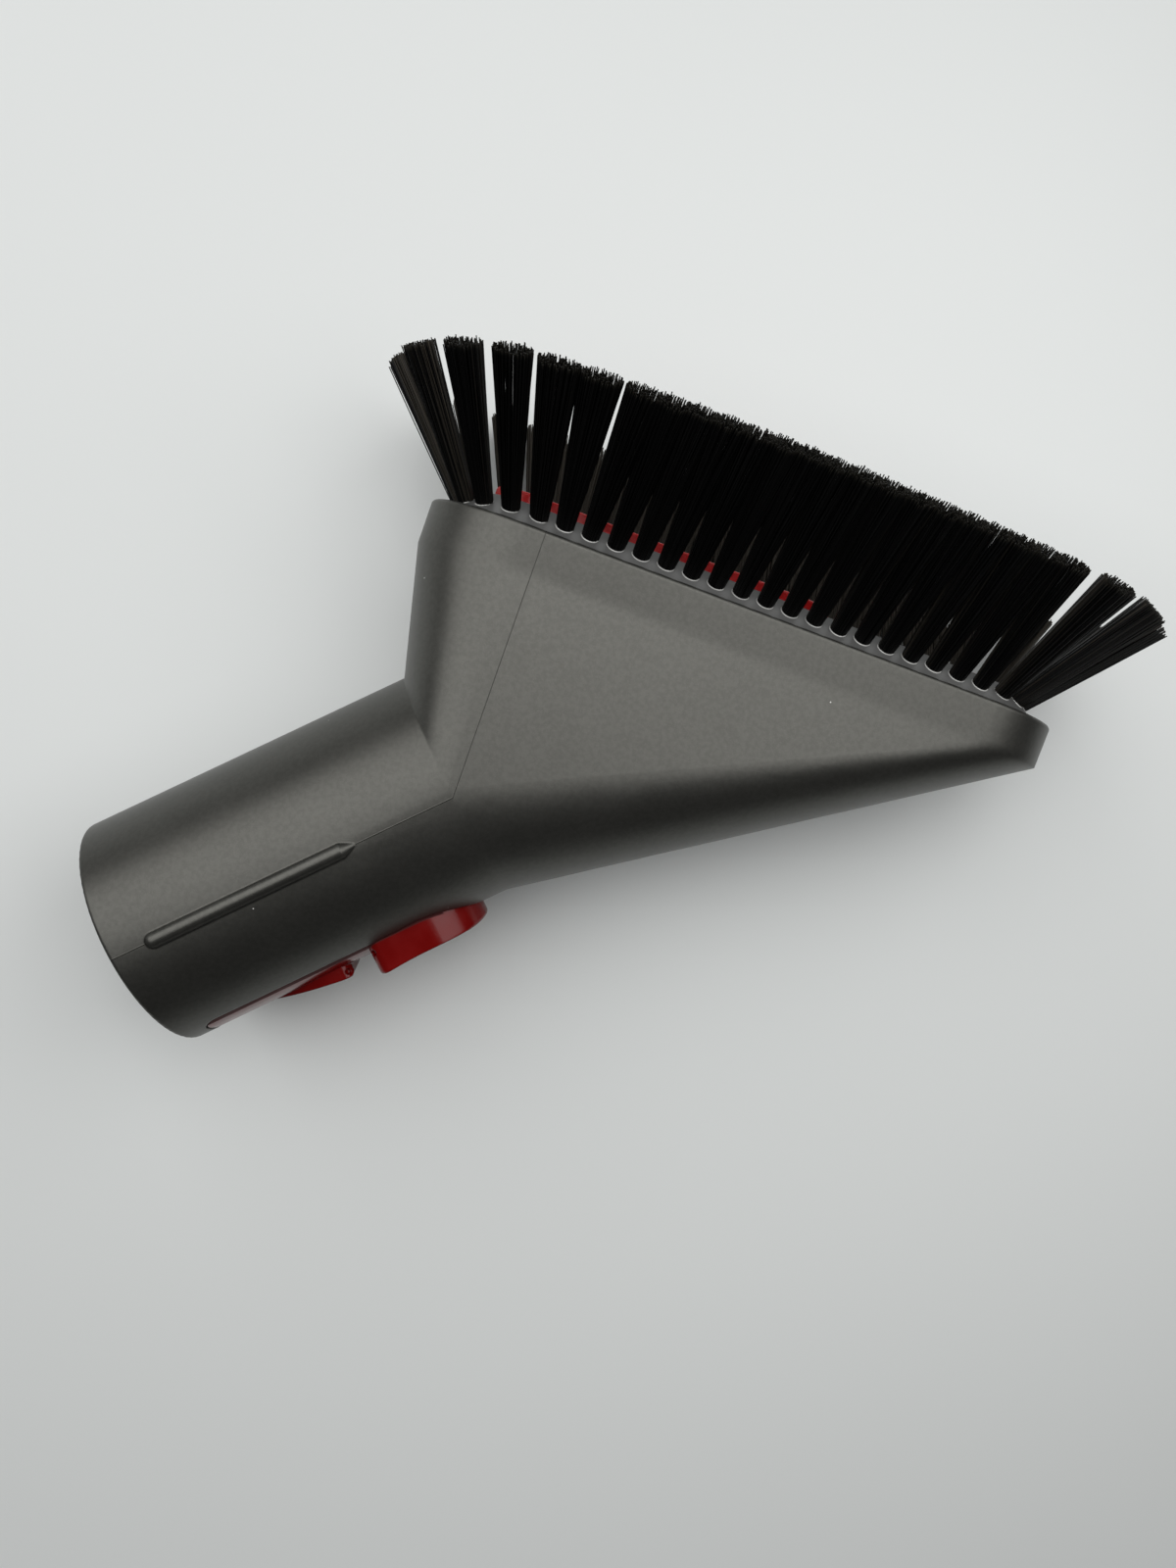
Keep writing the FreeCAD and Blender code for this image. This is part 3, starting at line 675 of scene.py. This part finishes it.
def aim_bristles(w, given, geometry):
    """Gives each bristle its way from root to tip and its bow."""
    seed, stray_reach = given["Seed"], given["Stray"]
    shortening = w.math("POWER", w.chance(seed, 3, 0.0, 1.0), 2.0)
    full = w.math("SUBTRACT", w.attribute("reach"), given["Radius"])
    length = w.math("SUBTRACT", full, w.math("MULTIPLY", given["Unevenness"], shortening))
    more_in_rows = w.math("MULTIPLY_ADD", w.attribute("crowding"), 0.7, 0.3)
    tip_side = w.math("MULTIPLY_ADD", given["Widening"], more_in_rows, w.attribute("tip_side"))
    tip_deep = w.math("SUBTRACT", w.attribute("tip_deep"), stray_reach)
    at_tip = across_tuft(
        w, w.math("MULTIPLY", w.attribute("u"), tip_side), w.math("MULTIPLY", w.attribute("v"), tip_deep),
    )
    ahead = w.vector("ADD", w.vector("SCALE", w.attribute("aim", VECTOR), length), at_tip)
    run = w.vector("SUBTRACT", ahead, w.attribute("off_middle", VECTOR))
    ends = ((-1.0,) * 3, (1.0,) * 3)
    stray = w.vector("SCALE", w.chance(seed, 4, *ends, VECTOR), stray_reach)
    bow = w.vector("SCALE", w.chance(seed, 5, *ends, VECTOR), given["Bow"])
    geometry = w.keep(geometry, "run", w.vector("ADD", run, stray), VECTOR)
    return w.keep(geometry, "bow", bow, VECTOR)


def paint_bristle_light(w, given, geometry):
    """Marks how much painted light each bristle gets, at random: more at a tuft's sides and in open tufts,
    and the lower row always pale.
    """
    edge_share = w.math("MULTIPLY_ADD", w.math("POWER", w.math("ABSOLUTE", w.attribute("u")), 4.0), 0.5, 0.5)
    open_share = w.math("MULTIPLY_ADD", w.attribute("openness"), 0.65, 0.35)
    drawn = w.math("MULTIPLY", w.chance(given["Seed"], 6, 0.0, 1.0), edge_share)
    least = w.math("MULTIPLY", w.attribute("lower_row"), 0.6)
    return w.keep(geometry, "shade", w.math("MAXIMUM", w.math("MULTIPLY", drawn, open_share), least))


def bristle_curves(w, geometry):
    """One curve for each point, laid from its root along its run with its bow."""
    line = w.add("GeometryNodeCurvePrimitiveLine", Start=(0.0, 0.0, 0.0), End=(0.0, 0.0, MM))
    pieces = w.add("GeometryNodeResampleCurve", Curve=line.outputs[0], Count=BRISTLE_POINTS)
    placed = w.add("GeometryNodeInstanceOnPoints", Points=geometry, Instance=pieces.outputs[0])
    real = w.add("GeometryNodeRealizeInstances", i0=placed.outputs[0])
    share = w.add("GeometryNodeSplineParameter").outputs["Factor"]
    arch = w.math("MULTIPLY", w.math("MULTIPLY", share, w.math("SUBTRACT", 1.0, share)), 4.0)
    place = w.vector("ADD", w.attribute("root", VECTOR), w.vector("SCALE", w.attribute("run", VECTOR), share))
    place = w.vector("ADD", place, w.vector("SCALE", w.attribute("bow", VECTOR), arch))
    along = w.keep(real.outputs[0], "along", share)
    return w.add("GeometryNodeSetPosition", Geometry=along, Position=place).outputs[0]


def finish_tubes(w, given, result, curves, radius, sides, capped):
    """Ends a tree: thin round tubes along its curves, made real and given the material."""
    profile = w.add("GeometryNodeCurvePrimitiveCircle", Resolution=sides, Radius=radius)
    tubes = w.add("GeometryNodeCurveToMesh", Curve=curves, Profile_Curve=profile.outputs[0], Fill_Caps=capped)
    real = w.add("GeometryNodeRealizeInstances", i0=tubes.outputs[0])
    painted = w.add("GeometryNodeSetMaterial", Geometry=real.outputs[0], Material=given["Material"])
    w.join(painted.outputs[0], result[0])


def bristle_tree():
    """Grows bristles from every tuft's point: packed at the root, fanned out and uneven at the tip."""
    tree, w, given, result = start_group(
        "grow_bristles", "GeometryNodeTree",
        [
            ("Tufts", "NodeSocketGeometry", None),
            ("Count", "NodeSocketInt", None),
            ("Radius", "NodeSocketFloat", None),
            ("Widening", "NodeSocketFloat", None),
            ("Unevenness", "NodeSocketFloat", None),
            ("Stray", "NodeSocketFloat", None),
            ("Bow", "NodeSocketFloat", 0.13 * MM),
            ("Seed", "NodeSocketInt", 7),
            ("Material", "NodeSocketMaterial", None),
        ],
        [("Bristles", "NodeSocketGeometry")],
    )
    geometry = spread_roots(w, given)
    geometry = aim_bristles(w, given, geometry)
    geometry = paint_bristle_light(w, given, geometry)
    finish_tubes(w, given, result, bristle_curves(w, geometry), given["Radius"], BRISTLE_SIDES, True)
    return tree


def rim_tree():
    """Lays a small round rim on the crown round the mouth of every tuft's hole."""
    tree, w, given, result = start_group(
        "lay_rims", "GeometryNodeTree",
        [
            ("Tufts", "NodeSocketGeometry", None),
            ("Carrier", "NodeSocketObject", None),
            ("Hole radius", "NodeSocketFloat", None),
            ("Rim radius", "NodeSocketFloat", None),
            ("Fall", "NodeSocketFloat", 25.0 * MM),
            ("Material", "NodeSocketMaterial", None),
        ],
        [("Rims", "NodeSocketGeometry")],
    )
    aim = w.attribute("aim", VECTOR)
    points = w.add("GeometryNodeMeshToPoints", i0=given["Tufts"])
    circle = w.add("GeometryNodeCurvePrimitiveCircle", Resolution=RIM_POINTS, Radius=given["Hole radius"])
    facing = w.add("FunctionNodeAlignRotationToVector", {"axis": "Z"}, Vector=aim)
    rings = w.add(
        "GeometryNodeInstanceOnPoints",
        Points=points.outputs[0], Instance=circle.outputs[0], Rotation=facing.outputs[0],
    )
    real = w.add("GeometryNodeRealizeInstances", i0=rings.outputs[0])
    carrier = w.add("GeometryNodeObjectInfo", Object=given["Carrier"]).outputs["Geometry"]
    ring_place = w.add("GeometryNodeInputPosition").outputs[0]
    above = w.vector("ADD", ring_place, w.vector("SCALE", aim, given["Fall"]))
    meet = w.add(
        "GeometryNodeRaycast", {"data_type": "FLOAT"},
        Target_Geometry=carrier, Source_Position=above,
        Ray_Direction=w.vector("SCALE", aim, -1.0), Ray_Length=w.math("MULTIPLY", given["Fall"], 1.6),
    ).outputs
    laid = w.add(
        "GeometryNodeSetPosition",
        Geometry=real.outputs[0], Selection=meet["Is Hit"], Position=meet["Hit Position"],
    )
    finish_tubes(w, given, result, laid.outputs[0], given["Rim radius"], RIM_SIDES, False)
    return tree


def grown(tree, mesh, name, values):
    """A plain mesh piece made by a node tree from a mesh, with the tree's inputs set by name."""
    holder = bpy.data.objects.new(name + "_points", mesh)
    bpy.context.scene.collection.objects.link(holder)
    modifier = holder.modifiers.new("grow", "NODES")
    modifier.node_group = tree
    for item in tree.interface.items_tree:
        if item.in_out == "INPUT" and item.name in values:
            modifier[item.identifier] = values[item.name]
    bpy.context.view_layer.update()
    evaluated = holder.evaluated_get(bpy.context.evaluated_depsgraph_get())
    made = bpy.data.meshes.new_from_object(evaluated)
    holder.modifiers.remove(modifier)
    bpy.data.objects.remove(holder)
    if not made.polygons:
        raise RuntimeError(f"{name} came out empty")
    piece = bpy.data.objects.new(name, made)
    made.name = name
    bpy.context.scene.collection.objects.link(piece)
    return piece


# Operators

class DUSTER_OT_housing(bpy.types.Operator):
    """Finish the neck and head."""

    bl_idname = "duster.housing"
    bl_label = "Housing finish"

    def execute(self, context):
        look = context.scene.dusting_brush.housing
        paint(["housing"], housing_material(look))
        return {"FINISHED"}


class DUSTER_OT_carrier(bpy.types.Operator):
    """Finish the ring that holds the tufts."""

    bl_idname = "duster.carrier"
    bl_label = "Bristle carrier finish"

    def execute(self, context):
        look = context.scene.dusting_brush.carrier
        paint(["bristle_carrier"], carrier_material(look))
        values = {
            "Carrier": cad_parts["bristle_carrier"],
            "Hole radius": HOLE_RADIUS + look.rim_radius,
            "Rim radius": look.rim_radius,
            "Material": rim_highlight_material(look),
        }
        piece = grown(rim_tree(), tuft_points(), "hole_rims", values)
        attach(piece, "brush")
        return {"FINISHED"}


class DUSTER_OT_trim(bpy.types.Operator):
    """Finish the red slot liner and the red latch."""

    bl_idname = "duster.trim"
    bl_label = "Red trim finish"

    def execute(self, context):
        look = context.scene.dusting_brush.trim
        # Both reds get painted shade at their edges, weak on the liner and strong on the latch
        liner = trim_material(
            "red_satin", look.liner_colour, roughness=0.3, waviness=0.2, shine=0.5, shade_depth=0.2,
        )
        latch = trim_material(
            "red_gloss", look.latch_colour, roughness=0.16, waviness=0.12, shine=0.33, shade_depth=0.9,
        )
        paint(["slot_liner"], liner)
        paint(["release_latch"], latch)
        return {"FINISHED"}


class DUSTER_OT_steel(bpy.types.Operator):
    """Finish the pivot pin, the spring and the staples."""

    bl_idname = "duster.steel"
    bl_label = "Steel finish"

    def execute(self, context):
        paint(STEEL_PARTS, steel_material())
        return {"FINISHED"}


class DUSTER_OT_bristles(bpy.types.Operator):
    """Grow the bristles in every tuft."""

    bl_idname = "duster.bristles"
    bl_label = "Bristles"

    def execute(self, context):
        look = context.scene.dusting_brush.bristles
        values = {
            "Count": look.count,
            "Radius": look.radius,
            "Widening": look.widening,
            "Unevenness": look.unevenness,
            "Stray": look.stray,
            "Material": bristle_material(look),
        }
        piece = grown(bristle_tree(), tuft_points(), "bristles", values)
        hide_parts(*TUFTS)
        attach(piece, "brush")
        return {"FINISHED"}


# Stage

# Place of the camera, found from the photograph's outlines, in the brush's own frame
CAMERA_PLACE = Vector((44.84, 70.33, 214.22)) * MM
IMAGE_RIGHT = Vector((0.937, 0.339, 0.0846))
IMAGE_DOWN = Vector((0.3295, -0.9379, 0.1086))
FOCAL_LENGTH_PX = 1131.43
IMAGE_HEIGHT_PX = 1600
SENSOR = 36.0
# The ways from the brush to the large lamp and to the lamp beyond the bristles
KEY_DIRECTION = (-0.554, 0.265, 0.788)
TOP_DIRECTION = (0.36, 0.5, 0.85)
TABLE_HALF = 1.5


def set_camera():
    """The camera at the photograph's viewing place and angle."""
    data = bpy.data.cameras.new("camera")
    data.sensor_width = SENSOR
    data.lens = FOCAL_LENGTH_PX / IMAGE_HEIGHT_PX * SENSOR
    data.clip_start = 0.01
    data.clip_end = 20.0
    camera = bpy.data.objects.new("camera", data)
    right = IMAGE_RIGHT.normalized()
    rise = (-IMAGE_DOWN - right * right.dot(-IMAGE_DOWN)).normalized()
    back = right.cross(rise)
    turn = Matrix((right, rise, back)).transposed().to_4x4()
    camera.matrix_world = Matrix.Translation(CAMERA_PLACE) @ turn
    bpy.context.scene.collection.objects.link(camera)
    bpy.context.scene.camera = camera


def table_plane():
    """The plane that the brush rests on: under the lower tuft tips and the neck's lower rib."""
    lowest_tips = min(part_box(name)[0].z for name in TUFTS)
    tip_line = max(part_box(name)[1].y for name in TUFTS)
    points = mesh_points(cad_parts["housing"].data)
    behind = points[points[:, 1] < tip_line / 2]
    lean = ((behind[:, 2] - lowest_tips) / (tip_line - behind[:, 1])).min()
    return Vector((0.0, tip_line, lowest_tips)), math.atan(float(lean))


def table_material(look):
    """Pale matt laminate, very faintly uneven."""
    material, w, shader = start_material("pale_table")
    place = w.place()
    cloud = w.noise(place, scale=9.0, detail=3.0)
    fine = w.noise(place, scale=900.0, detail=2.0)
    tone = w.blend(cloud, tinted(look.table_colour, 0.985), tinted(look.table_colour, 1.0))
    w.join(tone, shader["Base Color"])
    shader["Roughness"].default_value = 0.55
    w.join(w.bump(fine, depth=0.02 * MM, strength=0.1), shader["Normal"])
    return material


def add_table(look):
    """A large flat table under the brush."""
    on_table, lean = table_plane()
    corners = [(TABLE_HALF * x, TABLE_HALF * y, 0) for x, y in ((-1, -1), (1, -1), (1, 1), (-1, 1))]
    mesh = bpy.data.meshes.new("table")
    mesh.from_pydata(corners, [], [(0, 1, 2, 3)])
    mesh.transform(Matrix.Translation(on_table) @ Matrix.Rotation(-lean, 4, "X"))
    mesh.materials.append(table_material(look))
    table = bpy.data.objects.new("table", mesh)
    bpy.context.scene.collection.objects.link(table)


def add_lamp(name, direction, distance, size, power, target):
    """A square soft lamp that faces the brush."""
    data = bpy.data.lights.new(name, "AREA")
    data.shape = "SQUARE"
    data.size = size
    data.energy = power
    lamp = bpy.data.objects.new(name, data)
    facing = Vector(direction).normalized()
    turn = facing.to_track_quat("Z", "Y").to_matrix().to_4x4()
    lamp.matrix_world = Matrix.Translation(Vector(target) + facing * distance) @ turn
    bpy.context.scene.collection.objects.link(lamp)


def set_room(strength):
    """An even, dim white room."""
    world = bpy.data.worlds.new("room")
    world.use_nodes = True
    background = world.node_tree.nodes["Background"]
    background.inputs["Color"].default_value = (1.0, 1.0, 1.0, 1.0)
    background.inputs["Strength"].default_value = strength
    bpy.context.scene.world = world


class DUSTER_OT_stage(bpy.types.Operator):
    """Set the table, the lamps and the camera."""

    bl_idname = "duster.stage"
    bl_label = "Stage"

    def execute(self, context):
        look = context.scene.dusting_brush.stage
        add_table(look)
        middle = (CAD_BOX[0] + CAD_BOX[1]) / 2
        add_lamp("key_lamp", KEY_DIRECTION, distance=0.7, size=0.86, power=look.key_power, target=middle)
        add_lamp("top_lamp", TOP_DIRECTION, distance=0.34, size=0.32, power=look.top_power, target=middle)
        set_room(look.room_light)
        set_camera()
        context.scene.view_settings.view_transform = "Standard"
        return {"FINISHED"}


OPERATORS = (
    DUSTER_OT_housing, DUSTER_OT_carrier, DUSTER_OT_trim,
    DUSTER_OT_steel, DUSTER_OT_bristles, DUSTER_OT_stage,
)


class DUSTER_PT_sidebar(bpy.types.Panel):
    """Buttons for the dusting brush."""

    bl_idname = "DUSTER_PT_sidebar"
    bl_label = "Dusting brush"
    bl_space_type = "VIEW_3D"
    bl_region_type = "UI"
    bl_category = "Dusting brush"

    def draw(self, context):
        for operator in OPERATORS:
            self.layout.operator(operator.bl_idname)


CLASSES = (
    HousingFinish, CarrierFinish, TrimFinish, BristleSizes, StageLook, BrushSettings,
    *OPERATORS, DUSTER_PT_sidebar,
)


def register():
    """Makes the settings, operators and panel known."""
    for item in CLASSES:
        bpy.utils.register_class(item)
    bpy.types.Scene.dusting_brush = bpy.props.PointerProperty(type=BrushSettings)


def unregister():
    """Takes the settings, operators and panel away."""
    del bpy.types.Scene.dusting_brush
    for item in reversed(CLASSES):
        bpy.utils.unregister_class(item)


def main():
    """Dresses the brush."""
    register()
    bpy.ops.duster.housing()
    bpy.ops.duster.carrier()
    bpy.ops.duster.trim()
    bpy.ops.duster.steel()
    bpy.ops.duster.bristles()
    bpy.ops.duster.stage()


if __name__ == "__main__":
    main()
